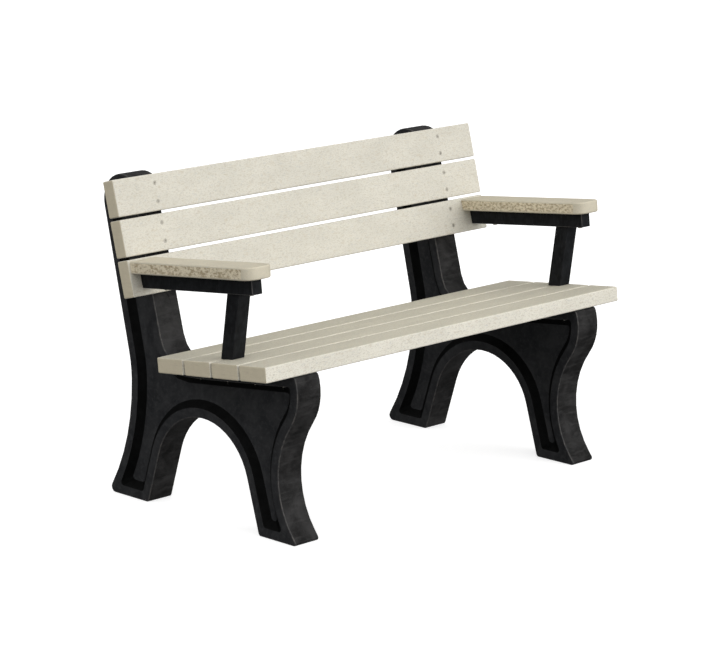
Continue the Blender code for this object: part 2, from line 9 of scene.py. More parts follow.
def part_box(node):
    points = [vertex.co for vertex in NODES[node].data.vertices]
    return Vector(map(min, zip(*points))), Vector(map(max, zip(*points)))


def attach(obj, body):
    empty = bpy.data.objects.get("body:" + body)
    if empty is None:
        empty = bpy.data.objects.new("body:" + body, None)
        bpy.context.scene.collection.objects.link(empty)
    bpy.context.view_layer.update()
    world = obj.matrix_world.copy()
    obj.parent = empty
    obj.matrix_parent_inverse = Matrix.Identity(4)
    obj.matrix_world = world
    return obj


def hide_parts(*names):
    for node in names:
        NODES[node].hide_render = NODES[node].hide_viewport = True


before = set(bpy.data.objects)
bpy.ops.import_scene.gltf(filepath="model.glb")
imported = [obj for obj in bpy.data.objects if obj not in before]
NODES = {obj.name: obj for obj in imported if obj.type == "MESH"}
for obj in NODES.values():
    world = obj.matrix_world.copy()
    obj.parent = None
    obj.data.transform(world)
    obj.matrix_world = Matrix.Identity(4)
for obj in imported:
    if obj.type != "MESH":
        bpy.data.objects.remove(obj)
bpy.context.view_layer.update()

bl_info = {
    "name": "Park Bench",
    "version": (1, 0, 0),
    "blender": (4, 5, 0),
    "location": "3D View > Sidebar > Park Bench",
    "description": "Finishes a park bench: speckled lumber, moulded end frames, screws and a studio",
    "category": "Add Mesh",
}

BODY = "root"

SEAT_PLANKS = sorted(name for name in NODES if name.startswith("seat_plank_"))
BACK_BOARDS = sorted(name for name in NODES if name.startswith("back_board_"))
ARM_BOARDS = ("left_arm_board", "right_arm_board")
ARM_STICKS = ("left_arm_rail", "right_arm_rail", "left_arm_post", "right_arm_post")
END_FRAMES = ("left_end_frame", "right_end_frame")
SCREWS = sorted(name for name in NODES if "_screw_" in name)
FLUSH_SCREWS = [name for name in SCREWS if name.startswith(("back_screw_", "post_top_screw_"))]

SMOOTH_ANGLE = radians(40)    # turns sharper than this keep a hard line
SAW_SPARE = 0.02              # how much larger a block is than the stick cut from it
RECESS_CUTTER = 0.010         # length of a screw recess's cutter, half of it outside the board
SAME_PLACE = 1e-5             # two places this near to each other count as one


# ---------------------------------------------------------------- settings

class LumberSettings(bpy.types.PropertyGroup):
    edge_radius: FloatProperty(
        name="Edge radius", description="Rounding along the edges of seat planks and back boards",
        default=0.0034, min=0.0005, max=0.006, unit="LENGTH")
    edge_steps: IntProperty(
        name="Edge steps", description="Facets across a rounded board edge",
        default=4, min=2, max=8)
    skin: FloatVectorProperty(
        name="Skin", description="Ground colour of the back boards",
        subtype="COLOR", default=(0.653, 0.628, 0.549), min=0.0, max=1.0)
    seat_skin: FloatVectorProperty(
        name="Seat skin", description="Ground colour of the front and rear sides of the seat planks",
        subtype="COLOR", default=(0.752, 0.724, 0.632), min=0.0, max=1.0)
    fleck: FloatVectorProperty(
        name="Fleck", description="Colour of the fine flecks in the skin",
        subtype="COLOR", default=(0.430, 0.380, 0.290), min=0.0, max=1.0)
    # the tops of the seat planks get a darker, warmer ground than their sides
    top_skin: FloatVectorProperty(
        name="Top skin", description="Ground colour of the darker, warmer tops of the seat planks",
        subtype="COLOR", default=(0.620, 0.588, 0.482), min=0.0, max=1.0)
    sawn_end: FloatVectorProperty(
        name="Sawn end", description="Colour of the sawn ends of planks and boards",
        subtype="COLOR", default=(0.600, 0.540, 0.405), min=0.0, max=1.0)


class ArmSettings(bpy.types.PropertyGroup):
    corner_radius: FloatProperty(
        name="Corner radius", description="Plan radius of the two front corners of an arm board",
        default=0.028, min=0.005, max=0.035, unit="LENGTH")
    corner_steps: IntProperty(
        name="Corner steps", description="Facets round a front corner",
        default=16, min=4, max=32)
    edge_radius: FloatProperty(
        name="Edge radius", description="Rounding round the top and bottom of an arm board",
        default=0.004, min=0.0005, max=0.008, unit="LENGTH")
    stick_edge: FloatProperty(
        name="Stick edge", description="Rounding along the edges of rails and posts",
        default=0.0014, min=0.0003, max=0.003, unit="LENGTH")
    skin: FloatVectorProperty(
        name="Arm skin", description="Ground colour of the smooth top and front of an arm board",
        subtype="COLOR", default=(0.610, 0.560, 0.438), min=0.0, max=1.0)
    sawn_side: FloatVectorProperty(
        name="Sawn side", description="Ground colour of the sawn sides of an arm board",
        subtype="COLOR", default=(0.740, 0.665, 0.500), min=0.0, max=1.0)
    mottle: FloatVectorProperty(
        name="Arm mottle", description="Dark colour of the coarse mottle on the sawn sides",
        subtype="COLOR", default=(0.330, 0.255, 0.150), min=0.0, max=1.0)
    black: FloatVectorProperty(
        name="Black lumber", description="Colour of the rails and posts",
        subtype="COLOR", default=(0.0072, 0.0077, 0.0085), min=0.0, max=1.0)


class FrameSettings(bpy.types.PropertyGroup):
    rim_edge: FloatProperty(
        name="Rim edge", description="Rounding of the crisp edges round the pockets",
        default=0.0012, min=0.0003, max=0.003, unit="LENGTH")
    crisp_angle: FloatProperty(
        name="Crisp angle", description="Edges that turn more than this are rounded",
        default=radians(35), min=radians(20), max=radians(80), subtype="ANGLE", unit="ROTATION")
    plastic: FloatVectorProperty(
        name="Moulded plastic", description="Ground colour of the end frames",
        subtype="COLOR", default=(0.0180, 0.0187, 0.0203), min=0.0, max=1.0)
    # painted shade: the sloping pocket walls get a near-black colour for the shade in the pockets
    pocket_wall_shade: FloatVectorProperty(
        name="Pocket wall shade", description="Near-black colour painted as shade on the smooth sloping walls of the pockets",
        subtype="COLOR", default=(0.0016, 0.0017, 0.0017), min=0.0, max=1.0)
    outer_face: FloatVectorProperty(
        name="Outer face", description="Ground colour of the faces that run round a frame's outline",
        subtype="COLOR", default=(0.0096, 0.0093, 0.0092), min=0.0, max=1.0)
    # the paler clouds are the plastic's own colour; this colour is also the ground of the painted edge
    # highlight
    scuff_and_highlight: FloatVectorProperty(
        name="Scuff", description="Colour of the paler clouds and the painted edge highlight",
        subtype="COLOR", default=(0.0340, 0.0345, 0.0358), min=0.0, max=1.0)
    # painted highlight: a paler line along the rounded and crisp edges of the frames and rails
    edge_highlight: FloatVectorProperty(
        name="Edge highlight", description="Colour of the thin painted highlight along the rim edges",
        subtype="COLOR", default=(0.075, 0.070, 0.066), min=0.0, max=1.0)


class ScrewSettings(bpy.types.PropertyGroup):
    socket_radius: FloatProperty(
        name="Socket radius", description="Radius of the six-sided driving socket in a screw head",
        default=0.0022, min=0.001, max=0.003, unit="LENGTH")
    socket_depth: FloatProperty(
        name="Socket depth", description="Depth of the driving socket",
        default=0.0018, min=0.0005, max=0.003, unit="LENGTH")
    hole_clearance: FloatProperty(
        name="Hole clearance", description="Gap between a flush screw head and its recess",
        default=0.0003, min=0.0001, max=0.001, unit="LENGTH")
    coating: FloatVectorProperty(
        name="Coating", description="Colour of the coating on the screws",
        subtype="COLOR", default=(0.400, 0.375, 0.320), min=0.0, max=1.0)


class StudioSettings(bpy.types.PropertyGroup):
    azimuth: FloatProperty(
        name="Azimuth", description="Camera bearing round the bench, zero in front of it",
        default=radians(-45.065), subtype="ANGLE", unit="ROTATION")
    elevation: FloatProperty(
        name="Elevation", description="Camera height above the horizon, as an angle",
        default=radians(13.109), subtype="ANGLE", unit="ROTATION")
    distance: FloatProperty(
        name="Distance", description="From the camera to the point that it looks at",
        default=7.030, min=1.0, max=30.0, unit="LENGTH")
    aim: FloatVectorProperty(
        name="Aim", description="The point that the camera looks at",
        subtype="XYZ", unit="LENGTH", default=(0.0, -0.0107, 0.3602))
    focal_length: FloatProperty(
        name="Focal length", description="Lens length in millimetres",
        default=143.06, min=20.0, max=300.0, unit="CAMERA")
    key_power: FloatProperty(
        name="Key light", description="Strength of the soft light from the front right",
        default=2.22, min=0.0, max=10.0)
    side_power: FloatProperty(
        name="Side light", description="Strength of the soft light from the left",
        default=0.84, min=0.0, max=10.0)
    sky_power: FloatProperty(
        name="Sky light", description="Strength of the very soft light from overhead",
        default=1.62, min=0.0, max=10.0)
    fill_power: FloatProperty(
        name="Surround", description="Strength of the even white surround",
        default=0.16, min=0.0, max=3.0)
    floor_size: FloatProperty(
        name="Floor size", description="Side of the square floor",
        default=90.0, min=10.0, max=200.0, unit="LENGTH")


# ---------------------------------------------------------------- shared making steps

def set_aside():
    """Leave nothing selected before a new piece is started."""
    if bpy.context.object and bpy.context.object.mode != "OBJECT":
        bpy.ops.object.mode_set(mode="OBJECT")
    bpy.ops.object.select_all(action="DESELECT")


def take_up(piece):
    """Select one piece alone and make it the active one."""
    set_aside()
    piece.select_set(True)
    bpy.context.view_layer.objects.active = piece


def pick(piece, edge_test=None, face_test=None):
    """Select only the edges or faces of a piece that pass the test, and enter edit mode."""
    take_up(piece)
    bpy.context.tool_settings.mesh_select_mode = (False, edge_test is not None, face_test is not None)
    mesh = piece.data
    for vert in mesh.vertices:
        vert.select = False
    for edge in mesh.edges:
        edge.select = False
    for face in mesh.polygons:
        face.select = False
    if edge_test is not None:
        for edge in mesh.edges:
            ends = [mesh.vertices[index] for index in edge.vertices]
            if edge_test(ends[0].co, ends[1].co):
                edge.select = True
                for vert in ends:
                    vert.select = True
    if face_test is not None:
        for face in mesh.polygons:
            if face_test(face.center, face.normal):
                face.select = True
                for index in face.vertices:
                    mesh.vertices[index].select = True
                for index in face.loop_indices:
                    mesh.edges[mesh.loops[index].edge_index].select = True
    bpy.ops.object.mode_set(mode="EDIT")


def put_down():
    """Leave edit mode."""
    bpy.ops.object.mode_set(mode="OBJECT")


def smooth_over(piece, angle):
    """Smooth shading that keeps the flat faces flat right up to their rounded edges."""
    take_up(piece)
    bpy.ops.object.shade_smooth_by_angle(angle=angle)
    even = piece.modifiers.new("even shading", "WEIGHTED_NORMAL")
    even.keep_sharp = True
    bpy.ops.object.modifier_apply(modifier=even.name)


def cut_with(piece, cutter):
    """Take the cutter's shape out of the piece, and throw the cutter away."""
    take_up(piece)
    hole = piece.modifiers.new("recess", "BOOLEAN")
    hole.operation = "DIFFERENCE"
    hole.solver = "EXACT"
    hole.object = cutter
    bpy.ops.object.modifier_apply(modifier=hole.name)
    bpy.data.objects.remove(cutter)


def fix_in_place(piece):
    """Put the place, turn and size of a piece into its own mesh."""
    take_up(piece)
    bpy.ops.object.transform_apply(location=True, rotation=True, scale=True)


def hand_over(piece, node):
    """The finished piece rides on the bench in place of its CAD node."""
    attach(piece, BODY)
    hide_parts(node)


# ---------------------------------------------------------------- measuring the frame

def flat_face(node, wanted):
    """A point on the largest flat face of a node that looks roughly the wanted way, and its normal."""
    mesh = NODES[node].data
    sums = {}
    for face in mesh.polygons:
        if face.normal.dot(wanted) < 0.9:
            continue
        height = face.center.dot(face.normal)
        key = (*(round(value, 3) for value in face.normal), round(height, 3))
        total, normal, reach = sums.get(key, (0.0, Vector(), 0.0))
        sums[key] = (total + face.area, normal + face.normal * face.area,
                     reach + height * face.area)
    total, normal, reach = max(sums.values(), key=lambda row: row[0])
    normal = normal.normalized()
    return normal * (reach / total), normal


def saw_cuts(node):
    """The six planes that bound a straight stick: right, left, rear, front, top and bottom."""
    ways = ((1, 0, 0), (-1, 0, 0), (0, 1, 0), (0, -1, 0), (0, 0, 1), (0, 0, -1))
    return [flat_face(node, Vector(way)) for way in ways]


def screw_line(node):
    """The top of a screw's head and the direction out of it."""
    mesh = NODES[node].data
    points = np.array([vert.co[:] for vert in mesh.vertices])
    points = np.unique(points.round(7), axis=0)
    middle = (points.max(axis=0) + points.min(axis=0)) / 2
    axis = np.linalg.svd(points - points.mean(axis=0))[2][0]
    along = (points - middle) @ axis
    across = np.linalg.norm((points - middle) - np.outer(along, axis), axis=1)
    if along[across.argmax()] < 0:
        axis, along = -axis, -along
    near = 1e-4
    ends = [points[along > along.max() - near].mean(axis=0),
            points[along < along.min() + near].mean(axis=0)]
    out = Vector(ends[0] - ends[1])
    return Vector(ends[0]), out.normalized(), out.length


def head_radius(node):
    """The widest reach of a screw from its own middle line."""
    top, out, length = screw_line(node)
    reach = 0.0
    for vert in NODES[node].data.vertices:
        offset = vert.co - top
        reach = max(reach, (offset - out * offset.dot(out)).length)
    return reach


# ---------------------------------------------------------------- finishes

def start_finish(name):
    """An empty material with a Principled shader, its links and a maker of nodes."""
    made = bpy.data.materials.new(name)
    made.use_nodes = True
    tree = made.node_tree
    shader = tree.nodes["Principled BSDF"]

    def add(kind, **settings):
        node = tree.nodes.new(kind)
        for key, value in settings.items():
            if hasattr(node, key):
                setattr(node, key, value)
            else:
                node.inputs[key.replace("_", " ")].default_value = value
        return node

    return made, shader, add, tree.links.new


def object_space(add, link, stretch=(1.0, 1.0, 1.0)):
    """Object coordinates, scaled along each axis."""
    place = add("ShaderNodeTexCoord")
    scale = add("ShaderNodeMapping")
    scale.inputs["Scale"].default_value = stretch
    link(place.outputs["Object"], scale.inputs["Vector"])
    return scale.outputs["Vector"]


def grain(add, link, vector, scale, detail=2.0, roughness=0.5, distortion=0.0):
    """Soft noise; a larger scale makes finer grain."""
    noise = add("ShaderNodeTexNoise")
    noise.inputs["Scale"].default_value = scale
    noise.inputs["Detail"].default_value = detail
    noise.inputs["Roughness"].default_value = roughness
    noise.inputs["Distortion"].default_value = distortion
    link(vector, noise.inputs["Vector"])
    return noise.outputs["Fac"]


def between(add, link, value, low, high, to_low=0.0, to_high=1.0):
    """Stretch a value from low..high to to_low..to_high, held at the ends."""
    spread = add("ShaderNodeMapRange")
    spread.inputs["From Min"].default_value = low
    spread.inputs["From Max"].default_value = high
    spread.inputs["To Min"].default_value = to_low
    spread.inputs["To Max"].default_value = to_high
    link(value, spread.inputs["Value"])
    return spread.outputs["Result"]


def blend_colours(add, link, factor, one, other):
    """Mix two colours, each a plain colour or a socket."""
    mix = add("ShaderNodeMix", data_type="RGBA")
    if isinstance(factor, float):
        mix.inputs[0].default_value = factor
    else:
        link(factor, mix.inputs[0])
    for socket, colour in ((mix.inputs[6], one), (mix.inputs[7], other)):
        if isinstance(colour, bpy.types.NodeSocket):
            link(colour, socket)
        else:
            socket.default_value = (*colour[:3], 1.0)
    return mix.outputs[2]


def arithmetic(add, link, operation, one, other):
    """A sum or product of two values, each a number or a socket."""
    node = add("ShaderNodeMath", operation=operation)
    for socket, value in zip(node.inputs, (one, other)):
        if isinstance(value, bpy.types.NodeSocket):
            link(value, socket)
        else:
            socket.default_value = value
    return node.outputs[0]


def raise_surface(add, link, shader, height, strength, distance):
    """Bump the surface by a height pattern."""
    bump = add("ShaderNodeBump")
    bump.inputs["Strength"].default_value = strength
    bump.inputs["Distance"].default_value = distance
    link(height, bump.inputs["Height"])
    link(bump.outputs["Normal"], shader.inputs["Normal"])


def tinted(colour, amount):
    """A colour made darker or paler by a factor."""
    return tuple(min(1.0, max(0.0, value * amount)) for value in colour[:3])


def speckled_skin(name, ground, fleck, along=(0.38, 1.0, 1.0), amount=0.55):
    """Extruded lumber skin: fine flecks drawn out along the board, and slow pale clouds."""
    made, shader, add, link = start_finish(name)
    drawn = object_space(add, link, along)
    fine = grain(add, link, drawn, 520.0, 3.0, 0.62)
    flecks = between(add, link, fine, 0.50, 0.66, 0.0, amount)
    coarse = grain(add, link, drawn, 170.0, 2.0, 0.55)
    patches = between(add, link, coarse, 0.56, 0.72, 0.0, amount * 0.8)
    clouds = grain(add, link, drawn, 26.0, 2.0, 0.5)
    ground_tone = blend_colours(add, link, between(add, link, clouds, 0.35, 0.65),
                                tinted(ground, 0.965), tinted(ground, 1.03))
    grey = grain(add, link, drawn, 300.0, 1.0, 0.5, 0.4)
    greyed = blend_colours(add, link, between(add, link, grey, 0.60, 0.70, 0.0, 0.35),
                           ground_tone, (0.42, 0.43, 0.42))
    tone = blend_colours(add, link, flecks, greyed, fleck)
    tone = blend_colours(add, link, patches, tone, tinted(fleck, 1.25))
    link(tone, shader.inputs["Base Color"])
    link(between(add, link, fine, 0.3, 0.7, 0.52, 0.66), shader.inputs["Roughness"])
    shader.inputs["Specular IOR Level"].default_value = 0.22
    raise_surface(add, link, shader, fine, 0.35, 0.0004)
    return made


def sawn_face(name, ground, dark):
    """A sawn end: even, with faint saw lines and small pores."""
    made, shader, add, link = start_finish(name)
    even = object_space(add, link)
    pores = grain(add, link, even, 650.0, 2.0, 0.6)
    lines = grain(add, link, object_space(add, link, (1.0, 0.06, 1.0)), 420.0, 1.0, 0.4)
    clouds = grain(add, link, even, 60.0, 2.0, 0.5)
    tone = blend_colours(add, link, between(add, link, clouds, 0.35, 0.65, 0.0, 0.30),
                         ground, tinted(ground, 0.86))
    tone = blend_colours(add, link, between(add, link, pores, 0.58, 0.70, 0.0, 0.45), tone, dark)
    tone = blend_colours(add, link, between(add, link, lines, 0.55, 0.75, 0.0, 0.16), tone, dark)
    link(tone, shader.inputs["Base Color"])
    shader.inputs["Roughness"].default_value = 0.72
    shader.inputs["Specular IOR Level"].default_value = 0.18
    raise_surface(add, link, shader, lines, 0.4, 0.0003)
    return made


def mottled_side(name, ground, dark):
    """The sawn side of an arm board: coarse brown mottle with finer flecks between."""
    made, shader, add, link = start_finish(name)
    drawn = object_space(add, link, (1.0, 0.62, 1.0))
    coarse = grain(add, link, drawn, 170.0, 3.0, 0.62, 0.25)
    fine = grain(add, link, drawn, 430.0, 2.0, 0.6)
    clouds = grain(add, link, drawn, 34.0, 1.0, 0.5)
    tone = blend_colours(add, link, between(add, link, clouds, 0.35, 0.65),
                         tinted(ground, 0.93), ground)
    tone = blend_colours(add, link, between(add, link, coarse, 0.45, 0.60, 0.0, 0.80), tone, dark)
    tone = blend_colours(add, link, between(add, link, fine, 0.56, 0.70, 0.0, 0.50),
                         tone, tinted(dark, 1.25))
    link(tone, shader.inputs["Base Color"])
    shader.inputs["Roughness"].default_value = 0.70
    shader.inputs["Specular IOR Level"].default_value = 0.20
    raise_surface(add, link, shader, coarse, 0.45, 0.0006)
    return made


def black_stick_finish(name, ground):
    """Black lumber: faint drawn streaks and a satin skin."""
    made, shader, add, link = start_finish(name)
    streaks = grain(add, link, object_space(add, link, (1.0, 0.9, 0.25)), 240.0, 3.0, 0.6)
    clouds = grain(add, link, object_space(add, link), 38.0, 3.0, 0.6)
    tone = blend_colours(add, link, between(add, link, clouds, 0.4, 0.7), ground, tinted(ground, 2.0))
    tone = blend_colours(add, link, between(add, link, streaks, 0.52, 0.70, 0.0, 0.6),
                         tone, tinted(ground, 3.2))
    link(tone, shader.inputs["Base Color"])
    link(between(add, link, streaks, 0.3, 0.7, 0.46, 0.62), shader.inputs["Roughness"])
    shader.inputs["Specular IOR Level"].default_value = 0.07
    raise_surface(add, link, shader, streaks, 0.35, 0.0004)
    return made


def moulded_finish(name, ground, scuff_and_highlight):
    """Moulded plastic: cloudy scuffs, cross wipes and a pebbled skin."""
    made, shader, add, link = start_finish(name)
    even = object_space(add, link)
    clouds = grain(add, link, even, 19.0, 4.0, 0.62, 0.5)
    wipes = grain(add, link, object_space(add, link, (0.25, 1.0, 1.0)), 95.0, 3.0, 0.6)
    pebble = grain(add, link, even, 420.0, 2.0, 0.6)
    tone = blend_colours(add, link, between(add, link, clouds, 0.38, 0.68), ground, scuff_and_highlight)
    tone = blend_colours(add, link, between(add, link, wipes, 0.50, 0.70, 0.0, 0.55), tone,
                         tinted(scuff_and_highlight, 1.35))
    tone = blend_colours(add, link, between(add, link, pebble, 0.55, 0.72, 0.0, 0.35), tone,
                         tinted(scuff_and_highlight, 1.3))
    link(tone, shader.inputs["Base Color"])
    link(between(add, link, clouds, 0.3, 0.7, 0.44, 0.60), shader.inputs["Roughness"])
    shader.inputs["Specular IOR Level"].default_value = 0.07
    height = arithmetic(add, link, "ADD", arithmetic(add, link, "MULTIPLY", pebble, 0.25), clouds)
    raise_surface(add, link, shader, height, 0.30, 0.0010)
    return made


def pocket_shade_finish(name, ground):
    """The smooth sloping wall of a pocket, painted near-black as shade, with a faint cloudiness."""
    made, shader, add, link = start_finish(name)
    clouds = grain(add, link, object_space(add, link), 45.0, 3.0, 0.6)
    link(blend_colours(add, link, between(add, link, clouds, 0.38, 0.68), ground, tinted(ground, 2.2)),
         shader.inputs["Base Color"])
    shader.inputs["Roughness"].default_value = 0.55
    shader.inputs["Specular IOR Level"].default_value = 0.04
    return made


def highlight_finish(name, settings):
    """The thin paler line painted along edges as a highlight."""
    made, shader, add, link = start_finish(name)
    wear = grain(add, link, object_space(add, link), 90.0, 3.0, 0.6)
    tone = blend_colours(add, link, between(add, link, wear, 0.38, 0.62),
                         settings.scuff_and_highlight, settings.edge_highlight)
    link(tone, shader.inputs["Base Color"])
    shader.inputs["Roughness"].default_value = 0.45
    shader.inputs["Specular IOR Level"].default_value = 0.25
    return made


def coated_steel(name, colour):
    """Coated screw steel, with the coating worn bright in specks."""
    made, shader, add, link = start_finish(name)
    wear = grain(add, link, object_space(add, link), 900.0, 3.0, 0.6)
    tone = blend_colours(add, link, between(add, link, wear, 0.55, 0.75, 0.0, 0.7),
                         colour, tinted(colour, 2.6))
    link(tone, shader.inputs["Base Color"])
    link(between(add, link, wear, 0.3, 0.7, 0.34, 0.52), shader.inputs["Roughness"])
    shader.inputs["Metallic"].default_value = 0.20
    return made


# ---------------------------------------------------------------- pieces

def saw_stick(name, node):
    """Cut a straight stick from a block with six saw cuts."""
    low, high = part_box(node)
    spare = Vector((SAW_SPARE, SAW_SPARE, SAW_SPARE))
    set_aside()
    bpy.ops.mesh.primitive_cube_add(size=1.0, location=(low + high) / 2, scale=high - low + spare)
    stick = bpy.context.object
    stick.name = name
    stick.data.name = name
    fix_in_place(stick)
    bpy.ops.object.mode_set(mode="EDIT")
    for point, normal in saw_cuts(node):
        bpy.ops.mesh.select_all(action="SELECT")
        bpy.ops.mesh.bisect(plane_co=point, plane_no=normal, use_fill=True, clear_outer=True)
    put_down()
    return stick


def round_edges(stick, radius, steps, edge_test=lambda a, b: True, finish=-1):
    """Round the edges that pass the test; finish is the material slot of the new faces."""
    pick(stick, edge_test=edge_test)
    bpy.ops.mesh.bevel(offset=radius, segments=steps, profile=0.5, affect="EDGES", material=finish)
    put_down()


def paint(piece, finish, face_test):
    """Give the faces that pass the test a finish of their own."""
    piece.data.materials.append(finish)
    pick(piece, face_test=face_test)
    piece.active_material_index = len(piece.data.materials) - 1
    bpy.ops.object.material_slot_assign()
    put_down()


def shape_board(node, settings, skin, sawn):
    """A plank or board with rounded edges, a skin and sawn ends."""
    board = saw_stick(node + "_finished", node)
    round_edges(board, settings.edge_radius, settings.edge_steps)
    board.data.materials.append(skin)
    paint(board, sawn, lambda centre, normal: abs(normal.x) > 0.8)
    return board


class BENCH_OT_seat_planks(bpy.types.Operator):
    """Cut the seat planks, round their edges and give them the speckled skin"""
    bl_idname = "bench.seat_planks"
    bl_label = "Seat Planks"

    def execute(self, context):
        settings = context.scene.bench_lumber
        skin = speckled_skin("seat plank skin", settings.seat_skin, settings.fleck)
        sawn = sawn_face("seat plank end", settings.sawn_end, tinted(settings.fleck, 0.8))
        top = speckled_skin("seat plank top", settings.top_skin, settings.fleck)
        for node in SEAT_PLANKS:
            plank = shape_board(node, settings, skin, sawn)
            paint(plank, top, lambda centre, normal: normal.z > 0.8)
            smooth_over(plank, SMOOTH_ANGLE)
            hand_over(plank, node)
        return {"FINISHED"}


class BENCH_OT_back_boards(bpy.types.Operator):
    """Cut the back boards, sink their screw recesses and give them the speckled skin"""
    bl_idname = "bench.back_boards"
    bl_label = "Back Boards"

    def execute(self, context):
        settings = context.scene.bench_lumber
        clearance = context.scene.bench_screws.hole_clearance
        skin = speckled_skin("back board skin", settings.skin, settings.fleck)
        sawn = sawn_face("back board end", settings.sawn_end, tinted(settings.fleck, 0.8))
        for node in BACK_BOARDS:
            board = shape_board(node, settings, skin, sawn)
            number = node.rsplit("_", 1)[1]
            for screw in FLUSH_SCREWS:
                if screw.startswith("back_screw_") and f"_{number}_" in screw:
                    self.sink(board, screw, clearance)
            smooth_over(board, SMOOTH_ANGLE)
            hand_over(board, node)
        return {"FINISHED"}

    def sink(self, board, screw, clearance):
        """A round recess that the flush head lies in."""
        top, out, length = screw_line(screw)
        radius = head_radius(screw) + clearance
        set_aside()
        bpy.ops.mesh.primitive_cylinder_add(vertices=32, radius=radius, depth=RECESS_CUTTER, location=top,
                                            rotation=out.to_track_quat("Z", "Y").to_euler())
        cut_with(board, bpy.context.object)


class BENCH_OT_arm_boards(bpy.types.Operator):
    """Cut the arm boards, round their front corners and edges, and mottle their sawn sides"""
    bl_idname = "bench.arm_boards"
    bl_label = "Arm Boards"

    def execute(self, context):
        settings = context.scene.bench_arms
        fleck = context.scene.bench_lumber.fleck
        skin = speckled_skin("arm board skin", settings.skin, fleck, (1.0, 0.38, 1.0), 0.30)
        mottle = mottled_side("arm board sawn side", settings.sawn_side, settings.mottle)
        for node in ARM_BOARDS:
            self.make(node, settings, skin, mottle)
        return {"FINISHED"}

    def make(self, node, settings, skin, mottle):
        board = saw_stick(node + "_finished", node)
        front, forward = flat_face(node, Vector((0, -1, 0)))
        top, upward = flat_face(node, Vector((0, 0, 1)))
        under, downward = flat_face(node, Vector((0, 0, -1)))

        def on(plane, point, normal):
            return abs((point - plane).dot(normal)) < SAME_PLACE

        round_edges(board, settings.corner_radius, settings.corner_steps,
                    lambda a, b: on(front, a, forward) and on(front, b, forward)
                    and abs(a.x - b.x) < SAME_PLACE)
        round_edges(board, settings.edge_radius, 4,
                    lambda a, b: (on(top, a, upward) and on(top, b, upward))
                    or (on(under, a, downward) and on(under, b, downward)))
        board.data.materials.append(skin)
        paint(board, mottle, lambda centre, normal: abs(normal.x) > 0.999)
        smooth_over(board, SMOOTH_ANGLE)
        hand_over(board, node)


class BENCH_OT_rails_and_posts(bpy.types.Operator):
    """Cut the rails and posts under the arms from black lumber, with a painted highlight on the rails'
    rounded edges
    """
    bl_idname = "bench.rails_and_posts"
    bl_label = "Rails and Posts"

    def execute(self, context):
        settings = context.scene.bench_arms
        black = black_stick_finish("black lumber skin", settings.black)
        highlight = highlight_finish("rubbed lumber edge", context.scene.bench_frames)
        for node in ARM_STICKS:
            stick = saw_stick(node + "_finished", node)
            stick.data.materials.append(black)
            stick.data.materials.append(highlight)
            # painted highlight: the rails' new edge faces get slot 1, the pale highlight; the posts'
            # edges stay black
            round_edges(stick, settings.stick_edge, 3, finish=1 if node.endswith("rail") else 0)
            smooth_over(stick, SMOOTH_ANGLE)
            hand_over(stick, node)
        return {"FINISHED"}


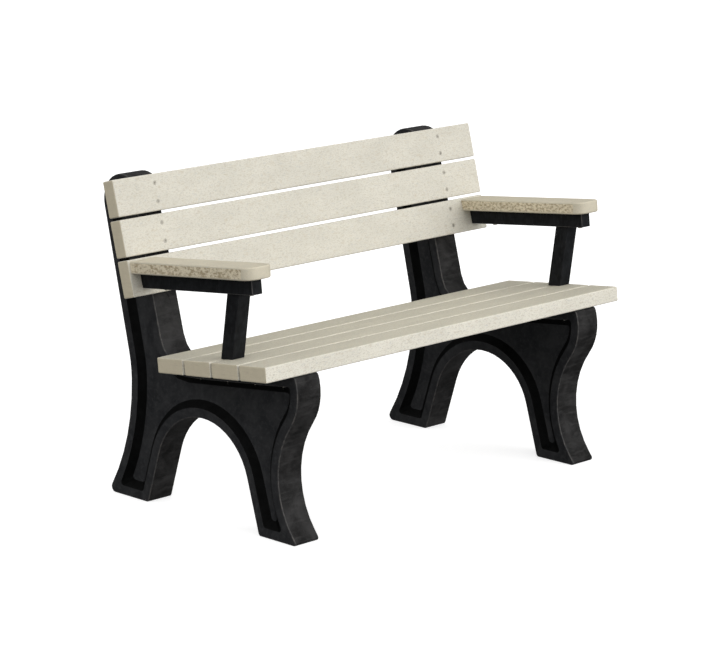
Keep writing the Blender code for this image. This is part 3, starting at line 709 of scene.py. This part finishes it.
class BENCH_OT_end_frames(bpy.types.Operator):
    """Round the crisp edges of the moulded end frames and give them their finish, with a painted
    highlight on the edges and painted shade on the pocket walls
    """
    bl_idname = "bench.end_frames"
    bl_label = "End Frames"

    EDGE_BAND = 0.0024            # how far in from a frame's side its rounded edge reaches
    FLAT_SIDE = 0.99              # a face turned this far along X belongs to a flat side
    OUTER_TURN = 0.15             # a face turned no further than this along X runs round the outline
    HOLE_MOUTH = 0.0045           # an edge this near to a screw's line is the mouth of its hole
    HOLE_REACH = 0.002            # how far past the ends of a screw its hole can go
    FRAME_SMOOTH_ANGLE = radians(35)

    def execute(self, context):
        settings = context.scene.bench_frames
        warm = tuple(value * tint for value, tint in zip(settings.scuff_and_highlight, (1.02, 0.98, 0.94)))
        finishes = (moulded_finish("frame side", settings.plastic, settings.scuff_and_highlight),
                    highlight_finish("rubbed frame edge", settings),
                    pocket_shade_finish("frame pocket wall", settings.pocket_wall_shade),
                    moulded_finish("frame outer face", settings.outer_face, warm))
        for node in END_FRAMES:
            self.make(node, settings, *finishes)
        return {"FINISHED"}

    def make(self, node, settings, plastic, highlight, wall, outer):
        set_aside()
        moulding = NODES[node].copy()
        moulding.data = NODES[node].data.copy()
        moulding.name = node + "_finished"
        moulding.data.name = moulding.name
        for key in list(moulding.keys()):
            del moulding[key]
        moulding.parent = None
        moulding.matrix_world = Matrix.Identity(4)
        bpy.context.scene.collection.objects.link(moulding)
        take_up(moulding)
        bpy.ops.object.mode_set(mode="EDIT")
        bpy.ops.mesh.select_all(action="SELECT")
        bpy.ops.mesh.remove_doubles(threshold=0.00002)
        bpy.ops.mesh.tris_convert_to_quads(face_threshold=radians(5), shape_threshold=radians(60))
        put_down()
        moulding.data.materials.clear()
        moulding.data.materials.append(plastic)
        low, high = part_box(node)
        middle, half = (low.x + high.x) / 2, (high.x - low.x) / 2

        def near_side(centre):
            return abs(centre.x - middle) > half - self.EDGE_BAND

        def slopes(normal):
            return self.OUTER_TURN < abs(normal.x) < self.FLAT_SIDE

        # painted highlight: the rounded edge faces along each side of a frame
        paint(moulding, highlight, lambda centre, normal: near_side(centre) and slopes(normal))
        # painted shade: the sloping pocket walls, away from the sides, get the near-black wall colour
        paint(moulding, wall, lambda centre, normal: not near_side(centre) and slopes(normal))
        paint(moulding, outer, lambda centre, normal: abs(normal.x) <= self.OUTER_TURN)
        lines = [screw_line(name) for name in SCREWS]
        crisp = self.crisp_edges(moulding.data, settings.crisp_angle, lines)
        pick(moulding, edge_test=lambda a, b: (tuple(a), tuple(b)) in crisp)
        # painted highlight: the new faces of the crisp edges get slot 1
        bpy.ops.mesh.bevel(offset=settings.rim_edge, segments=2, profile=0.5, affect="EDGES",
                           clamp_overlap=True, material=1)
        put_down()
        smooth_over(moulding, self.FRAME_SMOOTH_ANGLE)
        hand_over(moulding, node)

    def crisp_edges(self, mesh, angle, lines):
        """The raised edges that turn sharply and aren't the mouth of a screw hole."""
        faces = {}
        for face in mesh.polygons:
            for key in face.edge_keys:
                faces.setdefault(key, []).append(face)
        crisp = set()
        for key, sides in faces.items():
            if len(sides) != 2 or sides[0].normal.angle(sides[1].normal) < angle:
                continue
            if (sides[1].center - sides[0].center).dot(sides[0].normal) > 0.0:
                continue
            a, b = (mesh.vertices[index].co for index in key)
            if any(self.from_line((a + b) / 2, line) < self.HOLE_MOUTH for line in lines):
                continue
            crisp.add((tuple(a), tuple(b)))
            crisp.add((tuple(b), tuple(a)))
        return crisp

    def from_line(self, point, line):
        """How far a point is from a screw's middle line, or no end if it is past the hole."""
        top, out, length = line
        along = (point - top).dot(out)
        if along > self.HOLE_REACH or along < -length - self.HOLE_REACH:
            return inf
        return (point - top - out * along).length


class BENCH_OT_screws(bpy.types.Operator):
    """Turn one screw of each head and length, with a six-sided socket, and set a copy at every place"""
    bl_idname = "bench.screws"
    bl_label = "Screws"

    SHANK_RADIUS = 0.0027
    FLUSH_HEAD = 0.0031           # depth of a countersunk head
    RAISED_HEAD = 0.0034          # depth of a round head
    FLUSH_RIM = 0.0004            # rounding of a countersunk head's rim
    RAISED_RIM = 0.0022           # rounding that domes a round head
    POINT_LENGTH = 0.005
    POINT_SHARE = 0.4             # the blunt tip as a share of the shank

    def execute(self, context):
        settings = context.scene.bench_screws
        steel = coated_steel("coated screw steel", settings.coating)
        patterns = {}
        for node in SCREWS:
            top, out, length = screw_line(node)
            flush = node in FLUSH_SCREWS
            key = (flush, round(length, 5))
            if key not in patterns:
                patterns[key] = self.turn(settings, head_radius(node), length, flush)
            screw = bpy.data.objects.new(node + "_finished", patterns[key].copy())
            screw.data.name = screw.name
            screw.data.materials.append(steel)
            screw.matrix_world = Matrix.LocRotScale(top, out.to_track_quat("Z", "Y"), None)
            bpy.context.scene.collection.objects.link(screw)
            fix_in_place(screw)
            hand_over(screw, node)
        return {"FINISHED"}

    def turn(self, settings, radius, length, flush):
        """A screw along Z with the top of its head at zero: head, shank, point and socket."""
        shank = self.SHANK_RADIUS
        head = self.FLUSH_HEAD if flush else self.RAISED_HEAD
        set_aside()
        bpy.ops.mesh.primitive_cylinder_add(vertices=32, radius=radius, depth=head,
                                            location=(0.0, 0.0, -head / 2))
        made = bpy.context.object
        fix_in_place(made)
        pick(made, face_test=lambda centre, normal: normal.z < -0.9)
        if flush:
            bpy.ops.transform.resize(value=(shank / radius, shank / radius, 1.0))
        else:
            bpy.ops.mesh.inset(thickness=radius - shank)
        for drop in (head - length + self.POINT_LENGTH, -self.POINT_LENGTH):
            bpy.ops.mesh.extrude_region_move(TRANSFORM_OT_translate={"value": (0.0, 0.0, drop)})
        bpy.ops.transform.resize(value=(self.POINT_SHARE, self.POINT_SHARE, 1.0),
                                 center_override=(0.0, 0.0, -length))
        put_down()
        rim = self.FLUSH_RIM if flush else self.RAISED_RIM
        round_edges(made, rim, 2 if flush else 5,
                    lambda a, b: abs(a.z) < 1e-6 and abs(b.z) < 1e-6)
        set_aside()
        depth = settings.socket_depth * 2
        bpy.ops.mesh.primitive_cylinder_add(vertices=6, radius=settings.socket_radius, depth=depth)
        cut_with(made, bpy.context.object)
        smooth_over(made, SMOOTH_ANGLE)
        pattern = made.data
        bpy.data.objects.remove(made)
        return pattern


class BENCH_OT_studio(bpy.types.Operator):
    """Lay the pale floor, set the soft lights and aim the camera"""
    bl_idname = "bench.studio"
    bl_label = "Studio"

    FLOOR_DROP = 0.0005           # the floor lies this far under the feet
    FLOOR_GLOW = 0.70
    LAMP_DISTANCE = 3.0
    FAR_CLIP = 200.0
    # each soft light: its name, the setting with its strength, its width and where it comes from
    LIGHTS = (("key light", "key_power", radians(50), Vector((0.6, -1.65, 0.55))),
              ("side light", "side_power", radians(90), Vector((-1.0, -0.25, 0.35))),
              ("sky light", "sky_power", radians(130), Vector((-0.2, 0.0, 1.0))))

    def execute(self, context):
        settings = context.scene.bench_studio
        self.lay_floor(settings)
        self.light(context.scene, settings)
        self.aim_camera(context.scene, settings)
        context.scene.view_settings.view_transform = "Standard"
        context.scene.view_settings.look = "None"
        return {"FINISHED"}

    def lay_floor(self, settings):
        set_aside()
        bpy.ops.mesh.primitive_plane_add(size=settings.floor_size, location=(0.0, 0.0, -self.FLOOR_DROP))
        floor = bpy.context.object
        floor.name = "studio_floor"
        fix_in_place(floor)
        made, shader, add, link = start_finish("pale studio floor")
        faint = grain(add, link, object_space(add, link), 0.7, 1.0, 0.5)
        link(blend_colours(add, link, faint, (0.60, 0.60, 0.60), (0.61, 0.61, 0.61)),
             shader.inputs["Base Color"])
        shader.inputs["Roughness"].default_value = 0.9
        shader.inputs["Specular IOR Level"].default_value = 0.0
        shader.inputs["Emission Color"].default_value = (1.0, 1.0, 1.0, 1.0)
        shader.inputs["Emission Strength"].default_value = self.FLOOR_GLOW
        floor.data.materials.append(made)
        floor.visible_diffuse = False
        floor.visible_glossy = False

    def light(self, scene, settings):
        world = bpy.data.worlds.new("studio surround")
        world.use_nodes = True
        glow = world.node_tree.nodes["Background"]
        glow.inputs["Color"].default_value = (1.0, 1.0, 1.0, 1.0)
        glow.inputs["Strength"].default_value = settings.fill_power
        scene.world = world
        for name, strength, spread, towards in self.LIGHTS:
            self.soft_sun(name, getattr(settings, strength), spread, towards)

    def soft_sun(self, name, power, spread, towards):
        """A light from far off, as wide across as the spread."""
        set_aside()
        bpy.ops.object.light_add(type="SUN", location=towards * self.LAMP_DISTANCE)
        lamp = bpy.context.object
        lamp.name = name
        lamp.data.energy = power
        lamp.data.angle = spread
        lamp.rotation_euler = towards.to_track_quat("Z", "Y").to_euler()

    def aim_camera(self, scene, settings):
        set_aside()
        away = Vector((sin(settings.azimuth) * cos(settings.elevation),
                       -cos(settings.azimuth) * cos(settings.elevation), sin(settings.elevation)))
        bpy.ops.object.camera_add(location=Vector(settings.aim) + away * settings.distance,
                                  rotation=away.to_track_quat("Z", "Y").to_euler())
        camera = bpy.context.object
        camera.name = "bench camera"
        camera.data.lens = settings.focal_length
        camera.data.clip_end = self.FAR_CLIP
        scene.camera = camera


class BENCH_PT_panel(bpy.types.Panel):
    """Settings and making steps of the park bench"""
    bl_idname = "BENCH_PT_panel"
    bl_label = "Park Bench"
    bl_space_type = "VIEW_3D"
    bl_region_type = "UI"
    bl_category = "Park Bench"

    def draw(self, context):
        for title, group, buttons in PANEL_ROWS:
            box = self.layout.box()
            box.label(text=title)
            settings = getattr(context.scene, group)
            for name in settings.__annotations__:
                box.prop(settings, name)
            for button in buttons:
                box.operator(button)


GROUPS = (("bench_lumber", LumberSettings), ("bench_arms", ArmSettings), ("bench_frames", FrameSettings),
          ("bench_screws", ScrewSettings), ("bench_studio", StudioSettings))
PANEL_ROWS = (("Planks and boards", "bench_lumber", ("bench.seat_planks", "bench.back_boards")),
              ("Arms", "bench_arms", ("bench.arm_boards", "bench.rails_and_posts")),
              ("End frames", "bench_frames", ("bench.end_frames",)),
              ("Screws", "bench_screws", ("bench.screws",)),
              ("Studio", "bench_studio", ("bench.studio",)))
OPERATORS = (BENCH_OT_seat_planks, BENCH_OT_back_boards, BENCH_OT_arm_boards, BENCH_OT_rails_and_posts,
             BENCH_OT_end_frames, BENCH_OT_screws, BENCH_OT_studio)


def register():
    for name, group in GROUPS:
        bpy.utils.register_class(group)
        setattr(bpy.types.Scene, name, PointerProperty(type=group))
    for kind in (*OPERATORS, BENCH_PT_panel):
        bpy.utils.register_class(kind)


def unregister():
    for kind in reversed((*OPERATORS, BENCH_PT_panel)):
        bpy.utils.unregister_class(kind)
    for name, group in reversed(GROUPS):
        delattr(bpy.types.Scene, name)
        bpy.utils.unregister_class(group)


def main():
    register()
    for title, group, buttons in PANEL_ROWS:
        for button in buttons:
            getattr(bpy.ops.bench, button.split(".")[1])()
    set_aside()


if __name__ == "__main__":
    main()
